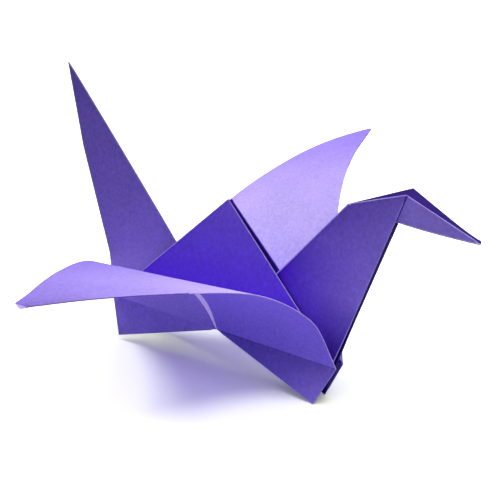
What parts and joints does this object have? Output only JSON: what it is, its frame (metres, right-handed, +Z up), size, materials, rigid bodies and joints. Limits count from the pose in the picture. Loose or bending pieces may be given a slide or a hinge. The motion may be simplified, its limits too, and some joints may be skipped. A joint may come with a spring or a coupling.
{
  "type": "origami flapping bird",
  "caption": "Origami flapping bird folded from a square sheet, with bent spread wings, a pointed neck and tail, standing on its folded feet.",
  "frame": {"origin": "middle of the bird's overall box in plan, on the surface that its folded feet stand on", "axes": "+X towards the head, +Y towards the higher wing, +Z up"},
  "size_m": [0.108, 0.1284, 0.0661],
  "materials": {
    "violet_paper": "matt"
  },
  "bodies": {
    "root": {"folded_sheet": "violet_paper"}
  },
  "joints": []
}
